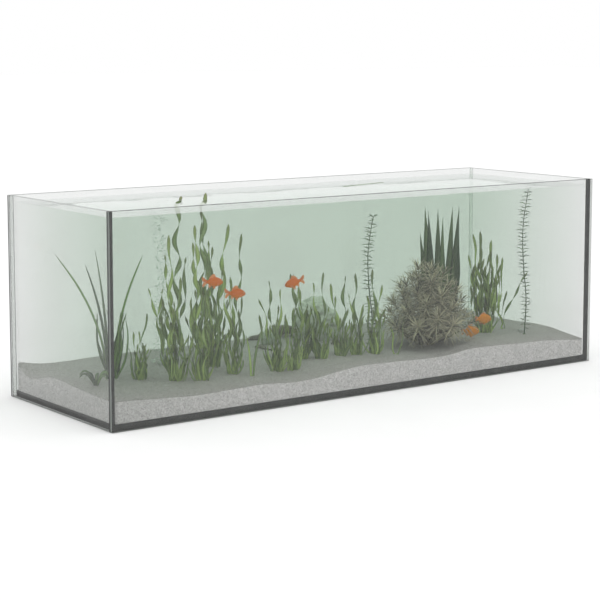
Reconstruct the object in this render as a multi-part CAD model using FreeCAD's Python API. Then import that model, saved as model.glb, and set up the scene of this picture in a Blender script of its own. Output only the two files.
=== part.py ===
import FreeCAD, Part
import math
import os

from FreeCAD import Vector

# Rimless glass aquarium, 1500 x 500 x 500 mm, with its substrate, rocks, driftwood, plants,
# air stones and five goldfish. Millimetres, +Z up. The origin is on the floor under the middle
# of the tank, +X runs along the tank to the right, and the front pane faces -Y.

# ---------------------------------------------------------------- driving dimensions
LENGTH = 1500.0
WIDTH = 500.0
HEIGHT = 500.0
WALL = 10.0             # float glass of the four upright panes
FLOOR_GLASS = 12.0      # the bottom pane is a little thicker
JOINT = 2.5             # silicone film between two panes
ARRIS = 0.8             # ground edge of every pane
BEAD = {"front_left": 3.0, "front_right": 6.5, "back_left": 2.0, "back_right": 1.5}
BOTTOM_BEAD = 4.0       # leg of the silicone fillet round the floor

IN_X = LENGTH / 2 - WALL            # inner faces of the end panes
IN_Y = WIDTH / 2 - WALL             # inner faces of the front and back panes
SAND_RELIEF = 10.0                  # the sand stops this short of a corner that holds a bead

CROWN_DEPTH = 12.0      # how far a plant's foot goes into the sand
CROWN_SHOWS = 1.5       # and how far it stands out of it
LEAF_THICK = 1.2

# Depth of the sand over the outer bottom face, along the front and the back pane
FRONT_SAND = [(-740, 66), (-500, 56), (-350, 60), (-220, 54), (-20, 71), (220, 66),
              (350, 77), (560, 71), (740, 58)]
BACK_SAND = [(-740, 79), (-640, 73), (-460, 76), (-50, 74), (740, 78)]
# Mounds and dips: x, y, height, radius
MOUNDS = [(-740, 20, 4, 70), (-740, 155, -18, 55), (740, -80, 12, 110), (-60, -60, 3, 160)]

# Ribbon-leaved plants: x, y, crown radius, leaf width, first leaf's bearing, leaf heights, leaf leans
RIBBON_PLANTS = {
    "ribbon_plant_small_left": (-547, -31, 12, 5, 20, [155, 110, 85, 120, 75], [20, 16, 24, 14, 20]),
    "ribbon_plant_tall_left": (-476, -82, 14, 9, 50, [404, 300, 350, 250, 295], [34, 16, 10, 14, 14]),
    "ribbon_plant_tall_right": (-424, -120, 14, 9, 55, [410, 330, 375, 265, 320], [48, 12, 16, 12, 14]),
    "ribbon_plant_back_left": (-321, -10, 13, 9, 10, [350, 310, 390, 250, 240], [42, 18, 20, 12, 14]),
    "ribbon_plant_front_left": (-322, -100, 13, 8, 0, [340, 200, 260, 150, 190], [14, 18, 14, 12, 16]),
    "ribbon_seedling": (-298, -146, 6, 4, 350, [120, 100], [26, 12]),
    "ribbon_plant_mid_left": (-205, -118, 13, 7, 30, [200, 220, 180, 165, 130], [10, 16, 40, 12, 12]),
    "ribbon_plant_mid_right": (-168, -140, 12, 7, 60, [235, 130, 110, 130], [8, 12, 12, 14]),
    "ribbon_plant_centre_left": (-92, -68, 12, 7, 80, [180, 215, 175, 110, 120], [8, 20, 10, 12, 10]),
    "ribbon_plant_centre": (-57, -102, 11, 6, 35, [215, 190, 120, 130], [10, 12, 10, 12]),
    "ribbon_plant_right_1": (0, -108, 11, 6, 20, [200, 150, 185, 100, 120], [14, 12, 18, 14, 12]),
    "ribbon_plant_right_2": (50, -112, 11, 6, 65, [205, 155, 110, 130, 120], [12, 12, 12, 14, 10]),
    "ribbon_plant_right_3": (100, -124, 11, 6, 0, [175, 215, 150, 120, 105], [14, 12, 12, 14, 10]),
    "ribbon_plant_short": (146, -158, 7, 5, 340, [95, 70], [16, 14]),
    "ribbon_plant_far_right": (535, -62, 14, 7, 25, [250, 275, 270, 240, 190, 150],
                               [26, 16, 24, 22, 10, 20]),
    "ribbon_plant_leaning": (612, -50, 8, 6, 330, [155, 100], [62, 26]),
}
GRASS_PLANT = (-605, 7, 12, 5, 145, [300, 285, 230, 165, 160, 290, 225, 305],
               [120, 66, 40, 42, 30, 96, 34, 44])
SPROUT_PLANT = (-681, -56, 6, 5, 160, [30, 26], [22, 18])
SWORD_PLANT = (560, 160, 44, 25, 12, [318, 312, 320, 250, 316, 300, 190, 322],
               [16, 12, 14, 16, 14, 12, 10, 12])

# Stems ringed with whorls of needles: x, y, height over the sand
WHORLED_STEMS = {"whorled_stem_left": (114, -88, 350), "whorled_stem_right": (609, -140, 398)}
STEM_RADIUS = 1.6
WHORL_RADIUS = 8.0
WHORL_PITCH = 10.0

# Bush of leafy shoots: rings of (number of shoots, lean in degrees, length, first bearing)
BUSH_AT = (292, -100)
BUSH_CROWN = 26.0
BUSH_RINGS = [(1, 0, 200, 0), (5, 26, 165, 20), (8, 55, 112, 358)]
SHOOT_STALK = 2.0
SHOOT_HEAD = (19.0, 40.0)           # radius and length of a shoot's leafy head

# Goldfish: x, y, z of the body's middle, heading in degrees from +X, nose pitch, body length
GOLDFISH = {
    "goldfish_1": (-441, -190, 310, -12, 0, 53),
    "goldfish_2": (-376, -188, 277, -14, 0, 53),
    "goldfish_3": (-198, -184, 288, 168, -12, 54),
    "goldfish_4": (428, -122, 96, -10, 0, 50),
    "goldfish_5": (486, -110, 122, 0, 0, 48),
}
FIN_THICK = 0.9

AIR_STONES = {"air_stone_left": (-419, 77), "air_stone_right": (624, -116)}
STONE_RADIUS = 9.0
STONE_HEIGHT = 14.0
NIPPLE_RADIUS = 2.0


# ---------------------------------------------------------------- sand
def ease(points, x):
    """Height at x on a smooth curve that is level at each of its points."""
    if x <= points[0][0]:
        return points[0][1]
    for (x0, z0), (x1, z1) in zip(points, points[1:]):
        if x <= x1:
            t = (x - x0) / (x1 - x0)
            return z0 + (z1 - z0) * t * t * (3 - 2 * t)
    return points[-1][1]


def sand_height(x, y):
    t = min(max((y + IN_Y) / (2 * IN_Y), 0.0), 1.0)
    z = ease(FRONT_SAND, x) * (1 - t) + ease(BACK_SAND, x) * t
    for mx, my, rise, radius in MOUNDS:
        z += rise * math.exp(-((x - mx) ** 2 + (y - my) ** 2) / radius ** 2)
    return z


def substrate():
    """Sand bed that fills the floor wall to wall, under one smooth rolling surface."""
    margin, step_x, step_y = 30.0, 50.0, 54.0
    nx = round(2 * (IN_X + margin) / step_x)
    ny = round(2 * (IN_Y + margin) / step_y)
    xs = [-IN_X - margin + 2 * (IN_X + margin) * i / nx for i in range(nx + 1)]
    ys = [-IN_Y - margin + 2 * (IN_Y + margin) * j / ny for j in range(ny + 1)]
    surface = Part.BSplineSurface()
    surface.interpolate([[Vector(x, y, sand_height(x, y)) for y in ys] for x in xs])
    below = surface.toShape().extrude(Vector(0, 0, -2 * HEIGHT))
    bed = Part.makeBox(2 * IN_X, 2 * IN_Y, HEIGHT / 2, Vector(-IN_X, -IN_Y, FLOOR_GLASS))
    lows = [e for e in bed.Edges if e.BoundBox.ZMax < FLOOR_GLASS + 1]
    uprights = [e for e in bed.Edges if e.BoundBox.ZLength > 1]
    bed = bed.makeChamfer(SAND_RELIEF, lows + uprights)
    return bed.common(below)


# ---------------------------------------------------------------- glass and silicone
def pane(x0, x1, y0, y1, z0, z1):
    box = Part.makeBox(x1 - x0, y1 - y0, z1 - z0, Vector(x0, y0, z0))
    return box.makeChamfer(ARRIS, box.Edges)


def panes():
    half_x, half_y = LENGTH / 2, WIDTH / 2
    edge = IN_Y - JOINT
    return {
        "front_pane": pane(-half_x, half_x, -half_y, -IN_Y, 0, HEIGHT),
        "back_pane": pane(-half_x, half_x, IN_Y, half_y, 0, HEIGHT),
        "left_pane": pane(-half_x, -IN_X, -edge, edge, 0, HEIGHT),
        "right_pane": pane(IN_X, half_x, -edge, edge, 0, HEIGHT),
        "bottom_pane": pane(JOINT - IN_X, IN_X - JOINT, -edge, edge, 0, FLOOR_GLASS),
    }


def hollow_fillet(corner, along_a, along_b, leg, sweep):
    """Silicone fillet with a hollow face, in the corner between two panes."""
    a, b = corner + along_a * leg, corner + along_b * leg
    middle = corner + (along_a + along_b) * leg * (1 - math.sqrt(0.5))
    wire = Part.Wire([Part.LineSegment(corner, a).toShape(), Part.Arc(a, middle, b).toShape(),
                      Part.LineSegment(b, corner).toShape()])
    return Part.Face(wire).extrude(sweep)


def upright_seam(side_x, side_y, leg):
    """Film between an end pane's edge and the front or back pane, with its inner fillet."""
    film_x = WALL - ARRIS
    x0 = side_x * IN_X if side_x > 0 else -IN_X - film_x
    y0 = IN_Y - JOINT if side_y > 0 else -IN_Y
    film = Part.makeBox(film_x, JOINT, HEIGHT, Vector(x0, y0, 0))
    corner = Vector(side_x * IN_X, side_y * IN_Y, FLOOR_GLASS)
    fillet = hollow_fillet(corner, Vector(-side_x, 0, 0), Vector(0, -side_y, 0), leg,
                           Vector(0, 0, HEIGHT - FLOOR_GLASS))
    return film.fuse(fillet).removeSplitter()


def bottom_seam_long(side_y):
    y0 = IN_Y - JOINT if side_y > 0 else -IN_Y
    film = Part.makeBox(2 * IN_X, JOINT, FLOOR_GLASS, Vector(-IN_X, y0, 0))
    corner = Vector(-IN_X, side_y * IN_Y, FLOOR_GLASS)
    fillet = hollow_fillet(corner, Vector(0, -side_y, 0), Vector(0, 0, 1), BOTTOM_BEAD,
                           Vector(2 * IN_X, 0, 0))
    return film.fuse(fillet).removeSplitter()


def bottom_seam_short(side_x):
    run = 2 * (IN_Y - JOINT)
    x0 = IN_X - JOINT if side_x > 0 else -IN_X
    film = Part.makeBox(JOINT, run, FLOOR_GLASS, Vector(x0, -run / 2, 0))
    corner = Vector(side_x * IN_X, -IN_Y, FLOOR_GLASS)
    fillet = hollow_fillet(corner, Vector(-side_x, 0, 0), Vector(0, 0, 1), BOTTOM_BEAD,
                           Vector(0, 2 * IN_Y, 0))
    return film.fuse(fillet).removeSplitter()


def seams():
    made = {"seam_bottom_front": bottom_seam_long(-1), "seam_bottom_back": bottom_seam_long(1)}
    for name, side_x in (("seam_bottom_left", -1), ("seam_bottom_right", 1)):
        made[name] = bottom_seam_short(side_x).cut(list(made.values())[:2])
    floor = list(made.values())
    for corner, leg in BEAD.items():
        side_y = -1 if corner.startswith("front") else 1
        side_x = -1 if corner.endswith("left") else 1
        made["seam_" + corner] = upright_seam(side_x, side_y, leg).cut(floor)
    return made


# ---------------------------------------------------------------- plants
def crown(x, y, radius):
    """Foot of a plant, pressed into the sand. Returns it and the height of its top."""
    top = sand_height(x, y) + CROWN_SHOWS
    return Part.makeCylinder(radius, CROWN_DEPTH, Vector(x, y, top - CROWN_DEPTH)), top


def leaf(foot, bearing, radius, height, lean, width):
    """Ribbon leaf that leaves its crown upright and bends outwards, with a pointed tip."""
    bend = (lean ** 2 + height ** 2) / (2 * lean)
    half, centre = LEAF_THICK / 2, radius + bend
    turn = math.asin(height / bend) if lean < height else math.pi - math.asin(height / bend)
    arcs = []
    for r in (bend - half, bend + half):
        at = [Vector(centre - r * math.cos(a), 0, r * math.sin(a)) for a in (0, turn / 2, turn)]
        arcs.append((at[0], at[2], Part.Arc(*at).toShape()))
    (in_foot, in_tip, inner), (out_foot, out_tip, outer) = arcs
    band = Part.Face(Part.Wire([Part.LineSegment(out_foot, in_foot).toShape(), inner,
                                Part.LineSegment(in_tip, out_tip).toShape(), outer]))
    band = band.extrude(Vector(0, width, 0))
    band.translate(Vector(0, -width / 2, 0))
    side, top = width / 2, height + 2 * LEAF_THICK
    outline = Part.makePolygon([Vector(0, -side, 0), Vector(0, side, 0), Vector(0, side, 0.7 * height),
                                Vector(0, 0, top), Vector(0, -side, 0.7 * height),
                                Vector(0, -side, 0)])
    reach = Part.Face(outline).extrude(Vector(radius + lean + 2 * width, 0, 0))
    blade = band.common(reach)
    blade.rotate(Vector(0, 0, 0), Vector(0, 0, 1), bearing)
    blade.translate(foot)
    return blade


def leafy_plant(x, y, crown_radius, width, bearing, heights, leans):
    """Crown with its leaves standing on it in a ring, each a solid of its own."""
    base, top = crown(x, y, crown_radius)
    ring = crown_radius - 2 * LEAF_THICK
    step = 360.0 / len(heights)
    leaves = [leaf(Vector(x, y, top), bearing + step * i, ring, height, lean, width)
              for i, (height, lean) in enumerate(zip(heights, leans))]
    return Part.makeCompound([base] + leaves)


def whorled_stem(x, y, height):
    """Thin stem with a flat whorl of needles every centimetre, turned as one piece."""
    base, top = crown(x, y, WHORL_RADIUS + 2)
    points = [Vector(0, 0, 0), Vector(STEM_RADIUS, 0, 0)]
    whorls = int(height / WHORL_PITCH) - 1
    for i in range(1, whorls + 1):
        z = i * WHORL_PITCH
        points += [Vector(STEM_RADIUS, 0, z), Vector(WHORL_RADIUS, 0, z),
                   Vector(WHORL_RADIUS, 0, z + LEAF_THICK), Vector(STEM_RADIUS, 0, z + LEAF_THICK)]
    points += [Vector(STEM_RADIUS, 0, height), Vector(0, 0, height), Vector(0, 0, 0)]
    stem = Part.Face(Part.makePolygon(points)).revolve(Vector(0, 0, 0), Vector(0, 0, 1), 360)
    stem.translate(Vector(x, y, top))
    return Part.makeCompound([base, stem])


def shoot(length):
    """Stalk and spindle-shaped leafy head, end to end, standing at the origin."""
    head_radius, head_length = SHOOT_HEAD
    start = length - head_length
    low, axis, tip = Vector(SHOOT_STALK, 0, start), Vector(0, 0, start), Vector(0, 0, length)
    side = Part.BezierCurve()
    side.setPoles([low, Vector(1.4 * head_radius, 0, start + 0.1 * head_length),
                   Vector(1.2 * head_radius, 0, length), tip])
    line = Part.makePolygon([tip, axis, low])
    head = Part.Face(Part.Wire([side.toShape()] + line.Edges))
    head = head.revolve(Vector(0, 0, 0), Vector(0, 0, 1), 360)
    stalk = Part.makeCylinder(SHOOT_STALK, start + BUSH_CROWN, Vector(0, 0, -BUSH_CROWN))
    return [stalk, head]


def bush():
    """Low bush: leafy shoots fanned out in rings from one crown."""
    x, y = BUSH_AT
    base, top = crown(x, y, BUSH_CROWN + 2)
    above = Part.makeBox(LENGTH, LENGTH, LENGTH, Vector(-LENGTH / 2, -LENGTH / 2, 0))
    solids = [base]
    rings = len(BUSH_RINGS) - 1
    for i, (count, lean, length, first) in enumerate(BUSH_RINGS):
        for j in range(count):
            bearing = first + 360.0 * j / count
            for piece in shoot(length):
                piece.rotate(Vector(0, 0, 0), Vector(0, 1, 0), lean)
                piece.translate(Vector((BUSH_CROWN - 4) * i / rings, 0, 0))
                piece = piece.common(above)
                piece.rotate(Vector(0, 0, 0), Vector(0, 0, 1), bearing)
                piece.translate(Vector(x, y, top))
                solids.append(piece)
    return Part.makeCompound(solids)


def plants():
    made = {name: leafy_plant(*row) for name, row in RIBBON_PLANTS.items()}
    made["grass_plant"] = leafy_plant(*GRASS_PLANT)
    made["sprout_plant"] = leafy_plant(*SPROUT_PLANT)
    made["sword_plant"] = leafy_plant(*SWORD_PLANT)
    for name, row in WHORLED_STEMS.items():
        made[name] = whorled_stem(*row)
    made["bush_plant"] = bush()
    return made


# ---------------------------------------------------------------- rocks and driftwood
def rock(x, y, radius_x, radius_y, height, phase):
    """Rounded boulder with a lumpy outline, sunk a little way into the sand."""
    floor = sand_height(x, y) - 0.15 * height
    sections = []
    for up, spread in ((0.0, 0.86), (0.3, 1.0), (0.62, 0.9), (0.86, 0.62), (1.0, 0.3)):
        ring = []
        for i in range(12):
            a = 2 * math.pi * i / 12
            lump = 1 + 0.10 * math.cos(3 * a + phase + up) + 0.06 * math.cos(5 * a - phase)
            ring.append(Vector(x + radius_x * spread * lump * math.cos(a),
                               y + radius_y * spread * lump * math.sin(a),
                               floor + 1.15 * height * up))
        curve = Part.BSplineCurve()
        curve.interpolate(ring, PeriodicFlag=True)
        sections.append(Part.Wire(curve.toShape()))
    return Part.makeLoft(sections, True)


def branch(path, radii):
    """Tapering branch through the points of its path, round in section."""
    rings = []
    for i, (point, radius) in enumerate(zip(path, radii)):
        ahead = path[min(i + 1, len(path) - 1)] - path[max(i - 1, 0)]
        rings.append(Part.Wire(Part.Circle(point, ahead, radius).toShape()))
    return Part.makeLoft(rings, True)


def over_sand(points):
    """Points given as x, y and height over the sand."""
    return [Vector(x, y, sand_height(x, y) + z) for x, y, z in points]


def hardscape():
    log = over_sand([(-70, 212, 2), (-56, 211, 6), (-40, 210, 6), (-20, 210, 11), (3, 211, 11),
                     (20, 211, 18), (40, 210, 18), (66, 209, 17), (84, 208, 14)])
    twig = over_sand([(84, 42, 2), (104, 34, 5), (124, 30, 9), (146, 36, 15)])
    chip = over_sand([(-104, 124, 2), (-97, 112, 3), (-97, 94, 3), (-98, 76, 2), (-98, 58, 2)])
    return {
        "large_rock": rock(92, 122, 66, 50, 116, 0.4),
        "small_rock": rock(-56, 132, 22, 18, 38, 1.9),
        "driftwood_branch": branch(log, [4, 6.5, 6, 7, 8, 12, 14, 13, 8]),
        "driftwood_twig": branch(twig, [4, 4.5, 3.5, 2]),
        "driftwood_chip": branch(chip, [3, 6, 4, 2, 1.6]),
    }


# ---------------------------------------------------------------- fish and air stones
def ellipse_ring(x, z, half_high, half_wide):
    """Upright ellipse across the fish, taller than it is wide."""
    ring = Part.Ellipse(Vector(0, 0, 0), half_high, half_wide).toShape()
    ring.rotate(Vector(0, 0, 0), Vector(0, 1, 0), -90)
    ring.translate(Vector(x, 0, z))
    return Part.Wire(ring)


def fin(points):
    plate = Part.Face(Part.makePolygon([Vector(x, 0, z) for x, z in points + points[:1]]))
    plate = plate.extrude(Vector(0, FIN_THICK, 0))
    plate.translate(Vector(0, -FIN_THICK / 2, 0))
    return plate


def goldfish(x, y, z, heading, pitch, length):
    """Deep-bodied goldfish, nose towards its heading, with its tail, back and belly fins."""
    u = length / 100.0
    body = Part.makeLoft([ellipse_ring(50 * u, -3 * u, 3 * u, 2.6 * u),
                          ellipse_ring(42 * u, -1 * u, 10 * u, 7.5 * u),
                          ellipse_ring(22 * u, 0, 19 * u, 12.5 * u),
                          ellipse_ring(2 * u, 0, 20 * u, 12 * u),
                          ellipse_ring(-14 * u, 1 * u, 12.5 * u, 7.5 * u),
                          ellipse_ring(-24 * u, 2 * u, 5.5 * u, 3 * u)], True)
    outlines = [
        [(-20, 4), (-20, 0), (-50, -19), (-44, 2), (-50, 24)],
        [(24, 12), (16, 34), (-4, 26), (-10, 8)],
        [(12, -12), (4, -29), (-2, -12)],
        [(-6, -10), (-14, -22), (-16, -4)],
    ]
    fish = body.fuse([fin([(px * u, pz * u) for px, pz in shape]) for shape in outlines])
    fish.rotate(Vector(0, 0, 0), Vector(0, 1, 0), -pitch)
    fish.rotate(Vector(0, 0, 0), Vector(0, 0, 1), heading)
    fish.translate(Vector(x, y, z))
    return fish


def air_stone(x, y):
    """Round air stone half sunk in the sand, with the nipple that takes the air line."""
    low = sand_height(x, y) - STONE_HEIGHT / 2
    stone = Part.makeCylinder(STONE_RADIUS, STONE_HEIGHT, Vector(x, y, low))
    rims = [e for e in stone.Edges if e.BoundBox.ZLength < 0.01]
    stone = stone.makeFillet(1.5, rims)
    nipple = Part.makeCylinder(NIPPLE_RADIUS, 2 * STONE_RADIUS,
                               Vector(x, y, low + 0.8 * STONE_HEIGHT), Vector(0, 1, 0))
    return stone.fuse(nipple)


# ---------------------------------------------------------------- assembly
def nodes():
    made = {"substrate": substrate()}
    made.update(panes())
    made.update(seams())
    made.update(hardscape())
    made.update(plants())
    made.update({name: goldfish(*row) for name, row in GOLDFISH.items()})
    made.update({name: air_stone(*row) for name, row in AIR_STONES.items()})
    return made


os.makedirs("parts", exist_ok=True)
for name, shape in nodes().items():
    shape.exportStep("parts/" + name + ".step")
    box = shape.BoundBox
    print(f"{name:26s} solids {len(shape.Solids):2d}  volume {shape.Volume / 1000:10.2f} cm3 "
          f" X {box.XMin:7.1f} {box.XMax:7.1f}  Y {box.YMin:7.1f} {box.YMax:7.1f} "
          f" Z {box.ZMin:6.1f} {box.ZMax:6.1f}  valid {shape.isValid()}")
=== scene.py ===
import random
from math import copysign, cos, pi, radians, sin, sqrt

import bpy
from mathutils import Matrix, Vector, noise
from mathutils.bvhtree import BVHTree


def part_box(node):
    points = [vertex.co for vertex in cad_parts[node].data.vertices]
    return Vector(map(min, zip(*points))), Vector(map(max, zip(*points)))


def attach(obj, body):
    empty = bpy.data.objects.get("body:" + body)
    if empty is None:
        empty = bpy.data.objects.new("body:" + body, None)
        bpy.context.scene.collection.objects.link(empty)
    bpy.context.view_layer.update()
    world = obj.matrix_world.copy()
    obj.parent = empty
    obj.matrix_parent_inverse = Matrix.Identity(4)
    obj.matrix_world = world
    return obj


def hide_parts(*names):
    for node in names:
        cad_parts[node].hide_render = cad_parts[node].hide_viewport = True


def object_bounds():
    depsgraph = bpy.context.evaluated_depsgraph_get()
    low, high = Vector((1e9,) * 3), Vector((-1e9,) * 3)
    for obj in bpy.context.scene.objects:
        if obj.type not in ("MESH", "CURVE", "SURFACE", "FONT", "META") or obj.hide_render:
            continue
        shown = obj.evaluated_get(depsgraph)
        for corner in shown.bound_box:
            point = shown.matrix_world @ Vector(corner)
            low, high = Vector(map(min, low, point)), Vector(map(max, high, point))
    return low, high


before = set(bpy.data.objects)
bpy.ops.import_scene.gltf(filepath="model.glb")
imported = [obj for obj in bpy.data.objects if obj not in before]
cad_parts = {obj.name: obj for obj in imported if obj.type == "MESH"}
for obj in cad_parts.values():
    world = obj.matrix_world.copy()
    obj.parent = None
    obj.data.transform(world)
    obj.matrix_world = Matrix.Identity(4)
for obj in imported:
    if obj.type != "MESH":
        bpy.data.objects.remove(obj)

# Looks for the rimless aquarium: glass, silicone, water, sand, stones, plants, goldfish and
# bubbles. Metres, in the CAD frame: +X to the right, the front pane faces -Y.

CAD_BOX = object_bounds()
UP = Vector((0, 0, 1))
ACROSS = Vector((0.8099, -0.5866, 0))     # level, to the camera's right
AWAY = Vector((0.5866, 0.8099, 0))        # level, away from the camera

# ---------------------------------------------------------------- camera, floor and light
CAMERA_AT = (-2.6582, -3.6019, 0.8903)
CAMERA_DOWN = 6.745                        # degrees below the horizon
CAMERA_TURN = 35.922                       # degrees from +Y towards +X
LENS = 104.66
SHIFT_UP = -0.1
SKY = 1.0
SUN = 0.9

scene = bpy.context.scene


def shown(name, data):
    """A new object in the scene."""
    made = bpy.data.objects.new(name, data)
    scene.collection.objects.link(made)
    return made


scene.view_settings.view_transform = "Standard"
scene.cycles.transparent_max_bounces = 32

camera = shown("camera", bpy.data.cameras.new("camera"))
scene.camera = camera
camera.location = CAMERA_AT
camera.rotation_euler = (radians(90 - CAMERA_DOWN), 0, radians(-CAMERA_TURN))
camera.data.lens = LENS
camera.data.shift_y = SHIFT_UP
camera.data.clip_end = 200

scene.world = bpy.data.worlds.new("studio")
scene.world.use_nodes = True
sky = scene.world.node_tree.nodes["Background"]
sky.inputs["Color"].default_value = (1, 1, 1, 1)
sky.inputs["Strength"].default_value = SKY

sun = shown("soft_light", bpy.data.lights.new("soft_light", "SUN"))
sun.data.energy = SUN
sun.data.angle = radians(70)
sun.rotation_euler = (radians(18), radians(2), 0)


# ---------------------------------------------------------------- shader nodes
class Finish:
    """A material while its nodes are joined up."""

    def __init__(self, name):
        self.material = bpy.data.materials.new(name)
        self.material.use_nodes = True
        self.tree = self.material.node_tree
        self.tree.nodes.clear()
        self.out = self.add("OutputMaterial")

    def add(self, kind, inputs=None, **settings):
        """A new node. A socket given as an input is linked, and anything else is its value."""
        made = self.tree.nodes.new("ShaderNode" + kind)
        for key, value in settings.items():
            setattr(made, key, value)
        for key, value in (inputs or {}).items():
            if isinstance(value, bpy.types.NodeSocket):
                self.tree.links.new(value, made.inputs[key])
            else:
                made.inputs[key].default_value = value
        return made

    def surfaced(self, shader):
        """The material, with this shader on its surface."""
        self.tree.links.new(shader, self.out.inputs["Surface"])
        return self.material

    def sums(self, operation, a, b=0.0):
        return self.add("Math", {0: a, 1: b}, operation=operation).outputs[0]

    def times(self, a, b):
        return self.sums("MULTIPLY", a, b)

    def plus(self, a, b):
        return self.sums("ADD", a, b)

    def place(self):
        return self.add("TexCoord").outputs["Object"]

    def blade_uv(self):
        return self.add("UVMap", uv_map="blade").outputs[0]

    def parts(self, vector):
        return self.add("SeparateXYZ", {0: vector}).outputs

    def normal_parts(self):
        return self.parts(self.add("NewGeometry").outputs["Normal"])

    def facing(self):
        return self.add("LayerWeight", {"Blend": 0.5}).outputs["Facing"]

    def grain(self, where, scale, detail=3.0, rough=0.55):
        """Noise from 0 to 1."""
        return self.add("TexNoise", {"Vector": where, "Scale": scale, "Detail": detail,
                                     "Roughness": rough}).outputs["Fac"]

    def cells(self, where, scale):
        return self.add("TexVoronoi", {"Vector": where, "Scale": scale}).outputs

    def ramp(self, factor, stops):
        """Colour for a factor, from (place, (r, g, b)) stops."""
        made = self.add("ValToRGB", {"Fac": factor})
        marks = made.color_ramp.elements
        while len(marks) < len(stops):
            marks.new(0.5)
        for mark, (place, colour) in zip(marks, stops):
            mark.position = place
            mark.color = (*colour, 1)
        return made.outputs["Color"]

    def blended(self, factor, a, b, mode="MIX"):
        a, b = ((*colour, 1) if isinstance(colour, tuple) else colour for colour in (a, b))
        return self.add("Mix", {0: factor, 6: a, 7: b}, data_type="RGBA", blend_type=mode).outputs[2]

    def shaded(self, colour, shade):
        return self.blended(1.0, colour, shade, "MULTIPLY")

    def relief(self, height, strength, distance):
        return self.add("Bump", {"Height": height, "Strength": strength,
                                 "Distance": distance}).outputs["Normal"]

    def clear(self, colour):
        return self.add("BsdfTransparent", {"Color": colour}).outputs[0]

    def glossy(self, colour, roughness, **more):
        return self.add("BsdfGlossy", {"Color": colour, "Roughness": roughness, **more}).outputs[0]

    def either(self, share, one, other):
        """The first shader, and the other for this share of it."""
        return self.add("MixShader", {0: share, 1: one, 2: other}).outputs[0]

    def principled(self, colour, roughness, normal=None, **plain):
        inputs = {"Base Color": colour, "Roughness": roughness}
        if normal is not None:
            inputs["Normal"] = normal
        inputs.update({key.replace("_", " "): value for key, value in plain.items()})
        return self.add("BsdfPrincipled", inputs).outputs[0]

    def mirror_share(self, head_on):
        """Share of light that a clear surface mirrors: head_on from straight ahead, all at a glance."""
        return self.plus(self.times(self.sums("POWER", self.facing(), 5.0), 1 - head_on), head_on)


# ---------------------------------------------------------------- finishes
PANE_TINT = (0.915, 0.919, 0.916)
PANE_MIRROR = 0.036
STRIPE_DEPTH = 0.95


def glass(name, axis, arris_shade, rim_shade, clearness, stripe=None):
    """Float glass: clear through its two faces and half-frosted grey-green on its ground edges. The
    narrow slopes between them carry painted shade, with a tone of their own round the rim. clearness is how
    far the upright edges lose their frosting, as where silicone wets them. stripe is the part of the
    left upright edge, from one Y to another, that shows the dark of the seam behind it, painted on."""
    f = Finish(name)
    where = f.place()
    mist = f.grain(where, 9.0, 2.0)
    tint = f.blended(mist, PANE_TINT, tuple(c - 0.004 for c in PANE_TINT))
    clear = f.clear(tint)
    shine = f.glossy((1, 1, 1, 1), 0.01)
    face = f.either(f.mirror_share(PANE_MIRROR), clear, shine)
    ground_edge = f.grain(where, 420.0, 2.0)
    colour = f.ramp(ground_edge, [(0.3, (0.30, 0.34, 0.31)), (0.7, (0.42, 0.46, 0.43))])
    edge = f.principled(colour, 0.35, f.relief(ground_edge, 0.25, 0.0004), IOR=1.5)
    through = f.clear((0.95, 0.965, 0.955, 1))
    parts = f.normal_parts()
    flat = [f.sums("ABSOLUTE", part) for part in parts]
    is_upright = f.sums("LESS_THAN", flat[2], 0.5)
    wetted = f.plus(f.times(is_upright, clearness - 0.5), 0.5)
    edge = f.either(wetted, edge, through)
    place = f.parts(where)
    if stripe:
        depth = f.sums("ABSOLUTE", place[1])
        striped = f.times(f.sums("GREATER_THAN", depth, stripe[0]),
                          f.sums("LESS_THAN", depth, stripe[1]))
        at_left = f.times(is_upright, f.sums("LESS_THAN", place[0], 0.0))
        striped = f.times(f.times(striped, at_left), STRIPE_DEPTH)
        # The dark of the seam behind, painted on this stripe of the edge.
        painted_seam_view = f.ramp(mist, [(0.3, (0.02, 0.022, 0.021)), (0.7, (0.045, 0.05, 0.047))])
        painted_seam_view = f.principled(painted_seam_view, 0.3, IOR=1.5)
        edge = f.either(striped, edge, painted_seam_view)
    # Painted shade on the narrow slopes between the faces, with a tone of its own round the rim.
    dark = f.ramp(ground_edge, [(0.3, (arris_shade,) * 3), (0.7, (arris_shade * 1.5,) * 3)])
    # The painted shade on these slopes is paler at the back-right corner.
    back_right_corner = f.times(f.sums("GREATER_THAN", place[0], 0.0), f.sums("GREATER_THAN", place[1], 0.0))
    dark = f.blended(back_right_corner, dark, (0.5, 0.52, 0.51))
    dark = f.blended(is_upright, (rim_shade,) * 3, dark)
    arris = f.principled(dark, 0.3, IOR=1.5)
    most = f.sums("MAXIMUM", f.sums("MAXIMUM", flat[0], flat[1]), flat[2])
    is_square = f.sums("GREATER_THAN", most, 0.9)
    is_face = f.sums("GREATER_THAN", flat[axis], 0.9)
    edge = f.either(is_square, arris, edge)
    return f.surfaced(f.either(is_face, edge, face))


def silicone(name, dark, light, clearness):
    """Cured silicone, smeared where it was drawn along the joint."""
    f = Finish(name)
    where = f.place()
    smear = f.grain(where, 60.0, 3.0)
    colour = f.ramp(smear, [(0.3, dark), (0.75, light)])
    body = f.principled(colour, 0.42, f.relief(smear, 0.3, 0.001))
    if clearness:
        through = f.clear((0.97, 0.98, 0.97, 1))
        body = f.either(clearness, body, through)
    return f.surfaced(body)


WATER_COLOUR = (0.18, 0.48, 0.23)
WATER_DENSITY = 1.0


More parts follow.
